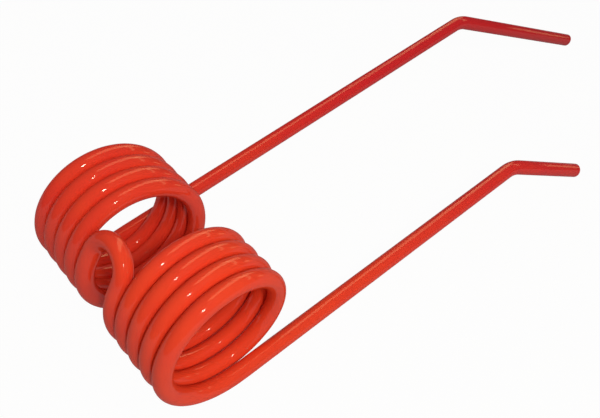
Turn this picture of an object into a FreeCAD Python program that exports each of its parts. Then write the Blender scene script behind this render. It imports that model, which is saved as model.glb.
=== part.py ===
"""Double-coil rake tine, bent and wound from one length of round spring wire.

Frame: millimetres. The coils share one axis along Y, and the origin lies on it,
midway between them. +Z is up and +X runs along the legs towards the points. The
left half is the one at +Y. The tine lies on its coils and on both points.

The middle of the wire is a chain of paths that meet tangentially: point, tip, leg,
root, coil, bight, coil, root, leg, tip, point. One round section is swept along the
whole chain, so the tine is one solid.
"""

import FreeCAD
import Part
import math
import os
import Sketcher

from FreeCAD import Vector

# Driving dimensions: millimetres and degrees.
SIZES = [
    ("wire_diameter", 9.5, "round spring steel with its coat of paint"),
    ("coil_mean_radius", 35.0, "coil axis to the middle of the wire"),
    ("coil_pitch", 10.2, "advance along the axis in one turn"),
    ("whole_turns", 4, "turns in each coil before the quarter turn down to the leg"),
    ("limb_spacing", 25.4, "between the middles of the bight's limbs, at the coils"),
    ("limb_length", 4.8, "straight wire between a coil and the bight's round end"),
    ("bight_rise_angle", 31.0, "how far the coils climb past their front to the bight"),
    ("root_radius", 150.0, "bend that brings a leg square to the coils"),
    ("left_leg_length", 305.0, "end of the coil to the corner of the tip"),
    ("right_leg_length", 230.0, "end of the coil to the corner of the tip"),
    ("left_tip_length", 138.0, "corner to the point"),
    ("right_tip_length", 65.0, "corner to the point"),
    ("tip_bend_angle", 29.5, "turn of each tip out of its leg"),
    ("tip_bend_radius", 24.5, "middle of the wire round that turn"),
    ("left_tip_roll", 59.0, "0 bends the tip level to the right, 90 straight down"),
    ("right_tip_roll", 49.0, "the same for the right leg"),
    ("point_chamfer", 0.8, "broken edge round the sawn end of each tip"),
]

# The left half lies at +Y and winds left-handed. The right half is its mirror image,
# with a leg, a tip and a roll of its own.
SIDES = {
    "left": {
        "sign": 1,
        "leg": "Sizes.left_leg_length",
        "tip": "Sizes.left_tip_length",
        "roll": "Sizes.left_tip_roll",
    },
    "right": {
        "sign": -1,
        "leg": "Sizes.right_leg_length",
        "tip": "Sizes.right_tip_length",
        "roll": "Sizes.right_tip_roll",
    },
}

# What follows from the sizes, in three objects, each of which reads those before it.
# The leg rises by the angle that lays its point on the same ground as the coils: depth
# and reach place the point about the coil axis as if the leg were level.
FORMULAS = {
    "Bends": {
        "lead_angle": "atan2(Sizes.coil_pitch; 2 * pi * Sizes.coil_mean_radius)",
        "tip_setback": "Sizes.tip_bend_radius * tan(Sizes.tip_bend_angle / 2)",
        "tip_run": "Sizes.tip_bend_radius * sin(Sizes.tip_bend_angle)",
        "tip_drop": "Sizes.tip_bend_radius * (1 - cos(Sizes.tip_bend_angle))",
        "{side}_depth": "Sizes.coil_mean_radius + {tip} * sin(Sizes.tip_bend_angle) * sin({roll})",
        "{side}_reach": "{leg} + {tip} * cos(Sizes.tip_bend_angle)",
    },
    "Roots": {
        "run": "Sizes.root_radius * sin(Bends.lead_angle)",
        "shift": "Sizes.root_radius * (1 - cos(Bends.lead_angle))",
        "{side}_rise_angle": "atan2(Bends.{side}_depth; Bends.{side}_reach)"
        " - asin(Sizes.coil_mean_radius / hypot(Bends.{side}_depth; Bends.{side}_reach))",
    },
    "Runs": {
        "{side}_turns": "Sizes.whole_turns"
        " + (90 + Sizes.bight_rise_angle + Roots.{side}_rise_angle / 1 deg) / 360",
        "{side}_shank": "{leg} - Roots.run - Bends.tip_setback",
        "{side}_tip": "{tip} - Bends.tip_setback",
    },
}


def make_sheet(doc):
    """Spreadsheet with one named driving dimension a row."""
    sheet = doc.addObject("Spreadsheet::Sheet", "Sizes")
    for row, (name, value, note) in enumerate(SIZES, start=1):
        sheet.set(f"A{row}", name)
        sheet.set(f"B{row}", str(value))
        sheet.set(f"C{row}", note)
        sheet.setAlias(f"B{row}", name)
    doc.recompute()
    return sheet


def make_derived(doc, group):
    """Angles and lengths that several paths need, kept as formulas of the sheet."""
    derived = doc.addObject("App::VarSet", group)
    formulas = {
        name.format(side=side): formula.format(side=side, **names)
        for name, formula in FORMULAS[group].items()
        for side, names in SIDES.items()
    }
    for name, formula in formulas.items():
        kind = "App::PropertyAngle" if name.endswith("angle") else "App::PropertyFloat"
        derived.addProperty(kind, name, "Derived", "")
        derived.setExpression(name, formula)
    doc.recompute()


def coil_placement(side):
    """Helix axis along Y, away from the middle, with its start at the bight."""
    sign = SIDES[side]["sign"]
    base = f"vector(0; {sign} * Sizes.limb_spacing / 2; 0)"
    onto_axis = f"rotation(vector(1; 0; 0); {-90 * sign})"
    to_start = f"rotation(vector(0; 0; 1); {sign} * (Sizes.bight_rise_angle - 180))"
    return f"placement({base}; {onto_axis} * {to_start})"


def leg_placement(side):
    """End of the coil: X along the leg's rise, Y along the coil axis."""
    angle = f"Roots.{side}_rise_angle"
    start = f"Sizes.limb_spacing / 2 + Sizes.coil_pitch * Runs.{side}_turns"
    across = f"{SIDES[side]['sign']} * ({start})"
    below = f"Sizes.coil_mean_radius * vector(sin({angle}); 0; -cos({angle}))"
    base = f"{below} + vector(0; {across}; 0)"
    return f"placement({base}; rotation(vector(0; 1; 0); -{angle}))"


def tip_placement(side):
    """End of the leg's straight: X along the leg, -Y the way that the tip bends."""
    out = f"vector(Roots.run + Runs.{side}_shank; {SIDES[side]['sign']} * Roots.shift; 0)"
    roll = f"rotation(vector(1; 0; 0); {SIDES[side]['roll']})"
    return f"{leg_placement(side)} * placement({out}; {roll})"


def point_placement(side):
    """End of the tip: X and Y across the wire, Z along it."""
    bend = "Sizes.tip_bend_angle"
    along = f"Bends.tip_run + Runs.{side}_tip * cos({bend})"
    aside = f"-Bends.tip_drop - Runs.{side}_tip * sin({bend})"
    turn = f"rotation(vector(0; 0; 1); -{bend}) * rotation(vector(0; 1; 0); 90)"
    return f"{tip_placement(side)} * placement(vector({along}; {aside}; 0); {turn})"


def make_coil(doc, side):
    """Close-wound helix from the bight round to the underside, where the leg leaves."""
    coil = doc.addObject("Part::Helix", f"{side}_coil")
    coil.LocalCoord = "Left-handed" if side == "left" else "Right-handed"
    coil.setExpression("Radius", "Sizes.coil_mean_radius")
    coil.setExpression("Pitch", "Sizes.coil_pitch")
    coil.setExpression("Height", f"Sizes.coil_pitch * Runs.{side}_turns")
    coil.setExpression("Placement", coil_placement(side))
    return coil


def add_line(sketch, start, length, angle):
    """Straight piece of a path, drawn from its start at an angle in degrees."""
    turn = math.radians(angle)
    first = Vector(*start, 0)
    along = Vector(math.cos(turn), math.sin(turn), 0)
    return sketch.addGeometry(Part.LineSegment(first, first + length * along))


def add_arc(sketch, centre, radius, first, last):
    """Round piece of a path between two angles in degrees."""
    circle = Part.Circle(Vector(*centre, 0), Vector(0, 0, 1), radius)
    return sketch.addGeometry(Part.ArcOfCircle(circle, math.radians(first), math.radians(last)))


def fix(sketch, *constraint):
    """Adds a constraint that needs no size."""
    sketch.addConstraint(Sketcher.Constraint(*constraint))


def bind(sketch, formula, *constraint):
    """Adds a driving constraint and ties it to a formula."""
    value = sketch.evalExpression(formula)
    index = sketch.addConstraint(Sketcher.Constraint(*constraint, value))
    sketch.setExpression(f"Constraints[{index}]", formula)


def make_bight(doc):
    """Limb, round end, limb, in the plane in which both coils let go of the wire."""
    sketch = doc.addObject("Sketcher::SketchObject", "bight")
    rise = "Sizes.bight_rise_angle"
    base = f"Sizes.coil_mean_radius * vector(-cos({rise}); 0; sin({rise}))"
    sketch.setExpression("Placement", f"placement({base}; rotation(vector(0; 1; 0); {rise} - 90))")
    half = doc.Sizes.limb_spacing / 2
    length = doc.Sizes.limb_length
    lead = doc.Bends.lead_angle.Value
    left = add_line(sketch, (0, half), length, -lead)
    right = add_line(sketch, (0, -half), length, lead)
    end = add_arc(sketch, (length, 0), half, lead - 90, 90 - lead)
    fix(sketch, "Tangent", left, 2, end, 2)
    fix(sketch, "Tangent", right, 2, end, 1)
    fix(sketch, "PointOnObject", end, 3, -1)
    fix(sketch, "PointOnObject", left, 1, -2)
    fix(sketch, "Symmetric", left, 1, right, 1, -1)
    bind(sketch, "Sizes.limb_spacing", "DistanceY", right, 1, left, 1)
    bind(sketch, "Sizes.limb_length", "Distance", left)
    bind(sketch, "-Bends.lead_angle", "Angle", left)
    return sketch


def make_leg(doc, side):
    """Root bend that takes out the coil's lead, then the straight of the leg."""
    sketch = doc.addObject("Sketcher::SketchObject", f"{side}_leg")
    sketch.setExpression("Placement", leg_placement(side))
    sign = SIDES[side]["sign"]
    run = doc.Roots.run
    shift = sign * doc.Roots.shift
    radius = doc.Sizes.root_radius
    lead = doc.Bends.lead_angle.Value
    shank = add_line(sketch, (run, shift), sketch.evalExpression(f"Runs.{side}_shank"), 0)
    # An arc runs anticlockwise, so the left root ends at the coil and the right one
    # starts there.
    if side == "left":
        root = add_arc(sketch, (run, shift - radius), radius, 90, 90 + lead)
        fix(sketch, "Coincident", root, 2, -1, 1)
        fix(sketch, "Tangent", root, 1, shank, 1)
    else:
        root = add_arc(sketch, (run, shift + radius), radius, -90 - lead, -90)
        fix(sketch, "Coincident", root, 1, -1, 1)
        fix(sketch, "Tangent", root, 2, shank, 1)
    fix(sketch, "Horizontal", shank)
    bind(sketch, "Sizes.root_radius", "Radius", root)
    bind(sketch, "Roots.run", "DistanceX", -1, 1, root, 3)
    bind(sketch, f"Runs.{side}_shank", "Distance", shank)
    return sketch


def make_tip(doc, side):
    """Bend out of the leg, then the straight run to the point."""
    sketch = doc.addObject("Sketcher::SketchObject", f"{side}_tip")
    sketch.setExpression("Placement", tip_placement(side))
    radius = doc.Sizes.tip_bend_radius
    angle = doc.Sizes.tip_bend_angle
    start = (doc.Bends.tip_run, -doc.Bends.tip_drop)
    bend = add_arc(sketch, (0, -radius), radius, 90 - angle, 90)
    run = add_line(sketch, start, sketch.evalExpression(f"Runs.{side}_tip"), -angle)
    fix(sketch, "Coincident", bend, 2, -1, 1)
    fix(sketch, "Tangent", bend, 1, run, 1)
    fix(sketch, "PointOnObject", bend, 3, -2)
    bind(sketch, "Sizes.tip_bend_radius", "Radius", bend)
    bind(sketch, "-Sizes.tip_bend_angle * 1 deg", "Angle", run)
    bind(sketch, f"Runs.{side}_tip", "Distance", run)
    return sketch


def make_middle(doc):
    """Middle of the wire: every path, in the order in which the wire runs."""
    middle = doc.addObject("Part::Compound", "middle")
    middle.Links = [
        make_tip(doc, "left"),
        make_leg(doc, "left"),
        make_coil(doc, "left"),
        make_bight(doc),
        make_coil(doc, "right"),
        make_leg(doc, "right"),
        make_tip(doc, "right"),
    ]
    return middle


def make_section(doc):
    """Round section of the wire at the left point, drawn as four quarters of a circle."""
    sketch = doc.addObject("Sketcher::SketchObject", "section")
    sketch.setExpression("Placement", point_placement("left"))
    radius = doc.Sizes.wire_diameter / 2
    for start in (0, 90, 180, 270):
        quarter = add_arc(sketch, (0, 0), radius, start, start + 90)
        first_axis, last_axis = (-1, -2) if start % 180 == 0 else (-2, -1)
        fix(sketch, "Coincident", quarter, 3, -1, 1)
        fix(sketch, "PointOnObject", quarter, 1, first_axis)
        fix(sketch, "PointOnObject", quarter, 2, last_axis)
        bind(sketch, "Sizes.wire_diameter / 2", "Radius", quarter)
    return sketch


def make_wire(doc):
    """The section swept along the whole middle of the wire."""
    wire = doc.addObject("Part::Sweep", "wire")
    wire.Sections = [make_section(doc)]
    wire.Spine = (make_middle(doc), [])
    wire.Solid = True
    wire.Frenet = False
    doc.recompute()
    return wire


def end_edges(shape, radius):
    """Numbers of the edges round the two flat ends of the wire."""
    flat = [face for face in shape.Faces if isinstance(face.Surface, Part.Plane)]
    ends = [face for face in flat if abs(face.Area - math.pi * radius**2) < 0.01 * face.Area]
    return [
        number
        for number, edge in enumerate(shape.Edges, start=1)
        if any(edge.isSame(rim) for face in ends for rim in face.Edges)
    ]


def make_tine(doc, sheet):
    """The swept wire with the edge of each sawn end broken."""
    wire = make_wire(doc)
    tine = doc.addObject("Part::Chamfer", "tine")
    tine.Base = wire
    size = sheet.point_chamfer
    tine.Edges = [(number, size, size) for number in end_edges(wire.Shape, sheet.wire_diameter / 2)]
    doc.recompute()
    return tine


def check(doc, solid):
    """Stops on a failed object, an invalid solid or a sweep that lost some wire."""
    for item in doc.Objects:
        if "Invalid" in item.State or "Error" in item.State:
            raise RuntimeError(f"{item.Label} failed: {item.State}")
    if solid.Shape.isNull() or not solid.Shape.isValid() or len(solid.Shape.Solids) != 1:
        raise RuntimeError(f"{solid.Label} is not one valid solid")
    radius = doc.Sizes.wire_diameter / 2
    length = doc.middle.Shape.Length
    volume = math.pi * radius**2 * length
    print(f"wire length {length:.1f} mm, volume {solid.Shape.Volume:.0f} of {volume:.0f} mm3")
    if abs(solid.Shape.Volume / volume - 1) > 0.01:
        raise RuntimeError("the sweep does not follow the whole wire")


def main():
    doc = FreeCAD.newDocument("RakeTine")
    sheet = make_sheet(doc)
    for group in FORMULAS:
        make_derived(doc, group)
    tine = make_tine(doc, sheet)
    check(doc, tine)
    os.makedirs("parts", exist_ok=True)
    tine.Shape.exportStep(f"parts/{tine.Label}.step")


main()
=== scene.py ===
# %% [markdown]
# A double-coil rake tine
#
# The object is one length of round spring steel wire, a little thicker than a pencil,
# wound into two coils with a loop between them and two long legs with kinked tips.
# It was dipped in a thick glossy red-orange paint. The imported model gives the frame:
# the coils share the Y axis, the legs run along +X, and +Z is up.

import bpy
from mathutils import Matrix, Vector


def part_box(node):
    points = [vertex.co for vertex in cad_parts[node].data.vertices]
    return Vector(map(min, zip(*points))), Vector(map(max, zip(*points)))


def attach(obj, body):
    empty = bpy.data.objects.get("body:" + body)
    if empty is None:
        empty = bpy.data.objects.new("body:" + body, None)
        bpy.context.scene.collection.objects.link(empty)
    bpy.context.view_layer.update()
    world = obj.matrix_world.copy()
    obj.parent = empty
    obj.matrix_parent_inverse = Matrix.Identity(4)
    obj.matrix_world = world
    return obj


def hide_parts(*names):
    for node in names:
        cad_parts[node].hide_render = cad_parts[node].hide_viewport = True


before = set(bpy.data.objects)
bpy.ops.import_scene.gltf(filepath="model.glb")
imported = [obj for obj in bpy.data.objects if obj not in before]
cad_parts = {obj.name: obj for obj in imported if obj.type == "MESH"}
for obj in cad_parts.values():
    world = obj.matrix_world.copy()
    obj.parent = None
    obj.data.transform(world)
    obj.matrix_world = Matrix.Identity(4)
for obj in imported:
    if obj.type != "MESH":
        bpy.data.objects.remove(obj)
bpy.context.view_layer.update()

import math

import bpy
from mathutils import Matrix, Vector

# %% [markdown]
# The sizes of the wire
#
# Blender works in metres, so the millimetres of a drawing are divided by a thousand.
# The coils stand on the ground, so the model's lowest point gives their radius. The
# other lengths are the driving dimensions of the bent wire, and the left half is the
# one at +Y.

# %% Sizes
MM = 0.001
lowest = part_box("tine")[0].z

wire_radius = 4.75 * MM
coil_radius = -lowest - wire_radius
coil_pitch = 10.2 * MM
whole_turns = 4
limb_spacing = 25.4 * MM
limb_length = 4.8 * MM
bight_rise = math.radians(31)
root_radius = 150 * MM
tip_bend = math.radians(29.5)
tip_bend_radius = 24.5 * MM

HALVES = {
    "left": {"side": 1, "leg": 305 * MM, "tip": 138 * MM, "roll": math.radians(59)},
    "right": {"side": -1, "leg": 230 * MM, "tip": 65 * MM, "roll": math.radians(49)},
}

lead = math.atan2(coil_pitch, 2 * math.pi * coil_radius)
print("coil mean radius", round(coil_radius / MM, 2), "mm, lead", round(math.degrees(lead), 2), "degrees")

# %% [markdown]
# How much detail the wire needs
#
# A glossy wire shows every flat on its outline, so the section gets 32 sides. Along
# the coil a ring every 3 degrees keeps the outline round, and a bend gets a ring every
# 2 degrees or so.

# %% Detail
SECTION_SIDES = 32
COIL_STEP = math.radians(3)
BEND_STEP = math.radians(2)


def steps(angle, step):
    return max(2, round(abs(angle) / step))


# %% [markdown]
# Small helpers for modelling by hand
#
# An operator works on everything that is selected, and the loaded model starts out
# selected. So each step first deselects all, then picks its own edges by their place.
# The open ring of edges at the end of the tube is what grows into more tube: extruded
# it makes a straight, spun it makes a bend.

# %% Helpers
ring_reach = 1.5 * wire_radius


def deselect_all():
    if bpy.context.mode != "OBJECT":
        bpy.ops.object.mode_set(mode="OBJECT")
    bpy.ops.object.select_all(action="DESELECT")


def activate(piece):
    deselect_all()
    piece.select_set(True)
    bpy.context.view_layer.objects.active = piece


def select_ring(piece, centre):
    """Selects the open edge loop of the tube that lies around a point."""
    activate(piece)
    bpy.ops.object.mode_set(mode="EDIT")
    bpy.ops.mesh.select_mode(type="EDGE")
    bpy.ops.mesh.select_all(action="DESELECT")
    bpy.ops.mesh.select_non_manifold(extend=False, use_wire=False, use_boundary=True)
    bpy.ops.object.mode_set(mode="OBJECT")
    mesh = piece.data
    for edge in mesh.edges:
        middle = (mesh.vertices[edge.vertices[0]].co + mesh.vertices[edge.vertices[1]].co) / 2
        edge.select = edge.select and (middle - centre).length < ring_reach
    bpy.ops.object.mode_set(mode="EDIT")


def grow(direction, length):
    """Extrudes the selected ring straight on."""
    bpy.ops.mesh.extrude_region_move(TRANSFORM_OT_translate={"value": tuple(direction * length)})


def bend(centre, axis, angle):
    """Turns the selected ring about an axis and leaves tube behind it."""
    # The spin operator counts its angle clockwise, looking back along the axis.
    count = steps(angle, BEND_STEP)
    bpy.ops.mesh.spin(steps=count, angle=-angle, center=tuple(centre), axis=tuple(axis))


# %% [markdown]
# How high a leg rises
#
# The tine lies on its coils and on both points. Seen along the coil axis, the point
# has to end as low as the underside of the coil, which fixes the angle at which the
# wire leaves the coil.

# %% Rise of the legs
for name, half in HALVES.items():
    depth = coil_radius + half["tip"] * math.sin(tip_bend) * math.sin(half["roll"])
    reach = half["leg"] + half["tip"] * math.cos(tip_bend)
    half["rise"] = math.atan2(depth, reach) - math.asin(coil_radius / math.hypot(depth, reach))
    half["turn"] = whole_turns * 2 * math.pi + math.pi / 2 + bight_rise + half["rise"]
    print(name, "leg rises", round(math.degrees(half["rise"]), 2), "degrees")

# %% [markdown]
# A coil
#
# A real coil is wound on a mandrel that feeds the wire along while it turns. The Screw
# modifier does just that with a circle: it turns it about an axis and shifts it at the
# same time. The circle is drawn at the front of the coil, and the whole half is turned
# up to the height of the loop afterwards.


# %% Coil
def make_coil(name, side, turn):
    deselect_all()
    start = (-coil_radius, side * limb_spacing / 2, 0)
    bpy.ops.mesh.primitive_circle_add(vertices=SECTION_SIDES, radius=wire_radius, location=start)
    coil = bpy.context.object
    coil.name = name
    bpy.ops.object.transform_apply(location=True, rotation=True, scale=True)
    bpy.ops.object.modifier_add(type="SCREW")
    screw = coil.modifiers[-1]
    screw.axis = "Y"
    screw.angle = -turn
    screw.screw_offset = side * coil_pitch * turn / (2 * math.pi)
    screw.steps = steps(turn, COIL_STEP)
    screw.render_steps = screw.steps
    bpy.ops.object.modifier_apply(modifier=screw.name)
    return coil


# %% [markdown]
# Half of the loop
#
# The two coils are joined by a loop, where a bolt holds the tine to its bar. From the
# front of a coil a short limb runs up, and the ring is squared to it before a spin
# takes it round to the middle.


# %% Loop
def add_half_loop(piece, side):
    start = Vector((-coil_radius, side * limb_spacing / 2, 0))
    along = Vector((0, -side * math.sin(lead), math.cos(lead)))
    corner = start + along * limb_length
    loop_radius = corner.y * side / math.cos(lead)
    centre = corner + Vector((0, -side * math.cos(lead), -math.sin(lead))) * loop_radius
    select_ring(piece, start)
    grow(along, limb_length)
    bpy.ops.transform.rotate(
        value=-side * lead, orient_axis="X", orient_type="GLOBAL", center_override=tuple(corner)
    )
    bend(centre, (1, 0, 0), side * (math.pi / 2 - lead))
    bpy.ops.object.mode_set(mode="OBJECT")
    print(piece.name, "loop radius", round(loop_radius / MM, 2), "mm")


# %% [markdown]
# A leg and its tip
#
# A gentle root bend takes out the coil's slant, so that the leg runs square to the
# coils. It is so slight that one straight step stands in for it. The tip is bent over
# a former about 40 mm thick, sideways and down. It stops 0.4 mm short, because its rim
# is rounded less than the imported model's and would stand out past it.


# %% Leg and tip
end_trim = 0.4 * MM


def add_leg(piece, side, half):
    rise = half["rise"]
    along = Vector((math.cos(rise), 0, math.sin(rise)))
    across = Vector((0, 1, 0))
    advance = limb_spacing / 2 + coil_pitch * half["turn"] / (2 * math.pi)
    start = Vector((coil_radius * math.sin(rise), side * advance, -coil_radius * math.cos(rise)))

    select_ring(piece, start)
    root = along * root_radius * math.sin(lead) + across * side * root_radius * (1 - math.cos(lead))
    setback = tip_bend_radius * math.tan(tip_bend / 2)
    grow(root.normalized(), root.length)
    bend_start = start + root + along * (half["leg"] - root_radius * math.sin(lead) - setback)
    grow(along, (bend_start - start - root).length)

    aside = Matrix.Rotation(half["roll"], 3, along) @ -across
    bend_axis = along.cross(aside)
    bend(bend_start + aside * tip_bend_radius, bend_axis, tip_bend)
    away = Matrix.Rotation(tip_bend, 3, bend_axis) @ along
    grow(away, half["tip"] - setback - end_trim)
    bpy.ops.object.mode_set(mode="OBJECT")
    corner = bend_start + along * setback
    return corner + away * (half["tip"] - end_trim)


# %% [markdown]
# Both halves, joined at the top of the loop
#
# The halves differ in their legs, so each is modelled by itself. They meet in the
# plane between the coils, where their last rings are the same circle, and merging
# the doubled points welds them.

# %% Both halves
weld_gap = 0.02 * MM
halves = []
points = {}
for name, half in HALVES.items():
    piece = make_coil(f"{name}_half", half["side"], half["turn"])
    add_half_loop(piece, half["side"])
    activate(piece)
    piece.rotation_euler.y = bight_rise
    bpy.ops.object.transform_apply(location=True, rotation=True, scale=True)
    points[name] = add_leg(piece, half["side"], half)
    halves.append(piece)
    print(name, "half spans", [round(value / MM, 1) for value in piece.dimensions], "mm")

activate(halves[0])
halves[1].select_set(True)
bpy.ops.object.join()
wire = bpy.context.object
wire.name = "painted_wire"
bpy.ops.object.mode_set(mode="EDIT")
bpy.ops.mesh.select_all(action="SELECT")
bpy.ops.mesh.remove_doubles(threshold=weld_gap)
bpy.ops.object.mode_set(mode="OBJECT")
print("wire", len(wire.data.vertices), "points", len(wire.data.polygons), "faces")

# %% [markdown]
# The sawn ends
#
# Each end was sawn square and its edge broken before painting, and the paint rounds it
# a little more. The open ring is closed with one face and its rim is bevelled.

# %% Ends
rounded_end = 0.5 * MM
sharp_edge = math.radians(40)

for name, point in points.items():
    select_ring(wire, point)
    bpy.ops.mesh.edge_face_add()
    bpy.ops.mesh.bevel(offset=rounded_end, offset_type="OFFSET", segments=4, affect="EDGES")
    print(name, "end closed at", [round(value / MM, 1) for value in point])

bpy.ops.mesh.select_all(action="SELECT")
bpy.ops.mesh.normals_make_consistent(inside=False)
bpy.ops.object.mode_set(mode="OBJECT")
bpy.ops.object.shade_smooth_by_angle(angle=sharp_edge)

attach(wire, "root")
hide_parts("tine")

# %% [markdown]
# Colours and nodes
#
# Colours are written as on a paint chart, in sRGB, and turned to the linear values
# that the renderer needs. One function adds a node with its settings and links.


# %% Colour and node helpers
def linear(code):
    channels = [int(code[i:i + 2], 16) / 255 for i in (1, 3, 5)]
    curve = [c / 12.92 if c <= 0.04045 else ((c + 0.055) / 1.055) ** 2.4 for c in channels]
    return (*curve, 1)


def add_node(tree, kind, settings=None, values=None, links=None):
    """Adds a node, sets its properties and socket values, and links its inputs."""
    node = tree.nodes.new(kind)
    for key, value in (settings or {}).items():
        setattr(node, key, value)
    for key, value in (values or {}).items():
        node.inputs[key].default_value = value
    for key, socket in (links or {}).items():
        tree.links.new(socket, node.inputs[key])
    return node


def new_material(name):
    material = bpy.data.materials.new(name)
    material.use_nodes = True
    material.node_tree.nodes.clear()
    return material, material.node_tree


# %% [markdown]
# Colour of gloss enamel on spring steel
#
# The paint is an alkyd enamel, put on thick by dipping. Its colour is painted light: it
# turns from orange-red on the coils to a darker crimson on the tips, as painted shade for
# the light that falls off away from the lamps. The right half, nearer the lamps, gets a
# little more of the orange-red, which is painted light too, and runs some 15 mm long vary
# it everywhere. All three are added up to one factor, which mixes the two colours. The
# noise lies round one half, so half its range comes off.

# %% Colour of the enamel
# The orange-red is the enamel as lit on the coils. The crimson is the same enamel painted darker, as
# painted shade.
ENAMEL_LIT_ORANGE_RED = linear("#E44328")
ENAMEL_PAINTED_SHADE = linear("#D82A2E")
PAINTED_LIT_UNTIL = 20 * MM
PAINTED_SHADE_FROM = 270 * MM
COIL_PAINTED_LIGHT = 0.8
SIDE_LIGHT_EDGE = 50 * MM
PAINTED_LIGHT_ON_RIGHT = 0.2
PAINTED_SHADE_ON_LEFT = 0.12
RUN_LENGTH = 15 * MM
RUN_RANGE = 0.6

enamel, tree = new_material("red_gloss_enamel")
place = add_node(tree, "ShaderNodeTexCoord")
along_tine = add_node(tree, "ShaderNodeSeparateXYZ", links={"Vector": place.outputs["Object"]})
# Painted shade: the colour darkens along X from the coils to the tips.
painted_falloff = add_node(
    tree, "ShaderNodeMapRange", {"interpolation_type": "SMOOTHSTEP"},
    {"From Min": PAINTED_LIT_UNTIL, "From Max": PAINTED_SHADE_FROM, "To Min": COIL_PAINTED_LIGHT, "To Max": 0.0},
    {"Value": along_tine.outputs["X"]},
)
# Painted light: the right half, nearer the lamps, is made more orange-red. This also centres the runs'
# noise.
side_light_and_run_offset = add_node(
    tree, "ShaderNodeMapRange",
    values={
        "From Min": -SIDE_LIGHT_EDGE, "From Max": SIDE_LIGHT_EDGE,
        "To Min": PAINTED_LIGHT_ON_RIGHT - RUN_RANGE / 2, "To Max": -PAINTED_SHADE_ON_LEFT - RUN_RANGE / 2,
    },
    links={"Value": along_tine.outputs["Y"]},
)
runs = add_node(
    tree, "ShaderNodeTexNoise", values={"Scale": 1 / RUN_LENGTH, "Detail": 2.0, "Roughness": 0.5},
    links={"Vector": place.outputs["Object"]},
)
runs_and_side_light = add_node(
    tree, "ShaderNodeMath", {"operation": "MULTIPLY_ADD"}, {1: RUN_RANGE},
    {0: runs.outputs["Fac"], 2: side_light_and_run_offset.outputs["Result"]},
)
painted_light_and_runs = add_node(
    tree, "ShaderNodeMath", {"operation": "ADD", "use_clamp": True},
    links={0: painted_falloff.outputs["Result"], 1: runs_and_side_light.outputs["Value"]},
)
# Mixes the lit orange-red with its painted shade, by the painted light and the runs.
shade = add_node(
    tree, "ShaderNodeMix", {"data_type": "RGBA"}, {"A": ENAMEL_PAINTED_SHADE, "B": ENAMEL_LIT_ORANGE_RED},
    {"Factor": painted_light_and_runs.outputs["Value"]},
)
print("colour nodes", len(tree.nodes))

# %% [markdown]
# Skin of gloss enamel
#
# The runs and a fine orange peel, about 1.5 mm across, bend the reflections a little,
# which a Bump node does without more faces. The gloss is a clear skin over a matt
# colour. A real enamel has an index near 1.5. An index of 2 at a low weight mirrors a
# lamp as brightly and adds less haze at a slant, which is how this paint looks.

# %% Skin of the enamel
RUN_HEIGHT = 0.3 * MM
PEEL_GRAIN = 1.5 * MM
PEEL_HEIGHT = 0.05 * MM

peel = add_node(
    tree, "ShaderNodeTexNoise", values={"Scale": 1 / PEEL_GRAIN, "Detail": 1.0, "Roughness": 0.4},
    links={"Vector": place.outputs["Object"]},
)
waves = add_node(
    tree, "ShaderNodeBump", values={"Strength": 0.15, "Distance": RUN_HEIGHT},
    links={"Height": runs.outputs["Fac"]},
)
skin = add_node(
    tree, "ShaderNodeBump", values={"Strength": 0.1, "Distance": PEEL_HEIGHT},
    links={"Height": peel.outputs["Fac"], "Normal": waves.outputs["Normal"]},
)
paint = add_node(
    tree, "ShaderNodeBsdfPrincipled",
    values={
        "Roughness": 0.5, "Specular IOR Level": 0.0,
        "Coat Weight": 0.15, "Coat Roughness": 0.06, "Coat IOR": 2.0,
    },
    links={
        "Base Color": shade.outputs["Result"],
        "Normal": skin.outputs["Normal"], "Coat Normal": skin.outputs["Normal"],
    },
)
add_node(tree, "ShaderNodeOutputMaterial", links={"Surface": paint.outputs["BSDF"]})

wire.data.materials.clear()
wire.data.materials.append(enamel)
print("enamel", enamel.name, "on", wire.name)

# %% [markdown]
# The floor
#
# The tine lies on a plain white table that reaches to the horizon. The camera, and the
# gloss on the paint, see it almost all as white. The small share that is left is the
# lit table, which keeps the soft shadow of the tine. Light that bounces off it to the
# tine sees a plain pale grey. It lies a hair below the coils, so the two never meet.

# %% Floor
FLOOR_WHITE = linear("#C4C0BA")
WHITE_SHARE = 0.97
FLOOR_SIZE = 60.0
FLOOR_GAP = 0.02 * MM

deselect_all()
bpy.ops.mesh.primitive_plane_add(size=FLOOR_SIZE, location=(0, 0, lowest - FLOOR_GAP))
floor = bpy.context.object
floor.name = "floor"
table, tree = new_material("white_table")
path = add_node(tree, "ShaderNodeLightPath")
matt = add_node(tree, "ShaderNodeBsdfDiffuse", values={"Color": FLOOR_WHITE})
white = add_node(tree, "ShaderNodeEmission", values={"Color": (1, 1, 1, 1), "Strength": 1.0})
gloss = add_node(
    tree, "ShaderNodeMath", {"operation": "MAXIMUM"},
    links={0: path.outputs["Is Glossy Ray"], 1: path.outputs["Is Transmission Ray"]},
)
seen = add_node(
    tree, "ShaderNodeMath", {"operation": "MAXIMUM"},
    links={0: path.outputs["Is Camera Ray"], 1: gloss.outputs["Value"]},
)
share = add_node(
    tree, "ShaderNodeMath", {"operation": "MULTIPLY"}, {1: WHITE_SHARE}, {0: seen.outputs["Value"]}
)
blend = add_node(
    tree, "ShaderNodeMixShader",
    links={0: share.outputs["Value"], 1: matt.outputs["BSDF"], 2: white.outputs["Emission"]},
)
add_node(tree, "ShaderNodeOutputMaterial", links={"Surface": blend.outputs["Shader"]})
floor.data.materials.append(table)
print("floor", FLOOR_SIZE, "m wide, white share", WHITE_SHARE)

# %% [markdown]
# Light
#
# The key is a small lamp behind the camera, and each turn of wire mirrors it as one
# sharp dot. A soft fill close by lights the coils more than the tips, and a weak one
# keeps the far side readable. Neither shows in the gloss, where it would be a large
# pale patch. The soft box and the strip, high up beyond the tips, and the low rim light
# are the reverse: they show only in the gloss, as thin lines on rings, legs and tips.
# The room adds a dim even light.


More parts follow.
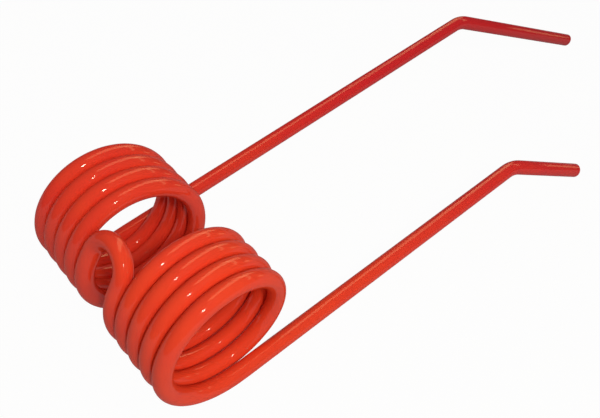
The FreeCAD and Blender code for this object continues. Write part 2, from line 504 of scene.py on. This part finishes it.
# %% Lights
def add_lamp(name, azimuth, elevation, distance, size, power, colour, lights=True, shows=True):
    """A rectangular lamp that faces the coils. Azimuth 0 is on the right-hand side."""
    turn, lift = math.radians(azimuth), math.radians(elevation)
    away = Vector((math.sin(turn) * math.cos(lift), -math.cos(turn) * math.cos(lift), math.sin(lift)))
    deselect_all()
    bpy.ops.object.light_add(type="AREA", location=away * distance)
    lamp = bpy.context.object
    lamp.name = name
    lamp.rotation_euler = away.to_track_quat("Z", "Y").to_euler()
    lamp.data.shape = "RECTANGLE"
    lamp.data.size, lamp.data.size_y = size
    lamp.data.energy = power
    lamp.data.color = linear(colour)[:3]
    lamp.visible_diffuse, lamp.visible_glossy = lights, shows
    print(name, "at", [round(value, 2) for value in lamp.location], "m,", power, "W")


add_lamp("key", -15, 50, 1.6, (0.13, 0.13), 7.5, "#FFFAE6")
add_lamp("fill", 0, 52, 0.45, (0.3, 0.3), 1.1, "#FFF6E2", shows=False)
add_lamp("back", 200, 45, 0.8, (0.5, 0.3), 0.9, "#FFF6E2", shows=False)
add_lamp("soft_box", 104, 31, 1.3, (1.8, 0.12), 3.0, "#FFD29A", lights=False)
add_lamp("strip", 120, 51, 1.3, (0.5, 2.2), 19.0, "#FFD29A", lights=False)
add_lamp("rim", 77, 8, 1.3, (0.3, 0.2), 0.8, "#FFD29A", lights=False)

ROOM_LIGHT = 0.19
world = bpy.data.worlds.new("room")
bpy.context.scene.world = world
world.use_nodes = True
world.node_tree.nodes.clear()
room = add_node(
    world.node_tree, "ShaderNodeBackground",
    values={"Color": linear("#F6F4FF"), "Strength": ROOM_LIGHT},
)
add_node(world.node_tree, "ShaderNodeOutputWorld", links={"Surface": room.outputs["Background"]})

# %% [markdown]
# Camera
#
# The camera looks down at the coils from their right-hand front, a third of a metre
# away, with a moderately wide lens, so the legs run away from it. Its place is in
# millimetres, its turn in degrees, and the lens and the sensor in millimetres.

# %% Camera
CAMERA_PLACE = (-90.23, -173.45, 252.36)
CAMERA_TURN = (38.762, -4.421, -40.478)
CAMERA_LENS = 36.964
CAMERA_SENSOR = 36
CAMERA_SHIFT = (0.0234, 0.0738)

bpy.ops.object.camera_add(location=[value * MM for value in CAMERA_PLACE])
camera = bpy.context.object
camera.rotation_euler = [math.radians(value) for value in CAMERA_TURN]
camera.data.sensor_width = CAMERA_SENSOR
camera.data.lens = CAMERA_LENS
camera.data.shift_x, camera.data.shift_y = CAMERA_SHIFT
camera.data.clip_start = 0.01
scene = bpy.context.scene
scene.camera = camera
scene.view_settings.view_transform = "Standard"
print("camera at", [round(value, 3) for value in camera.location])
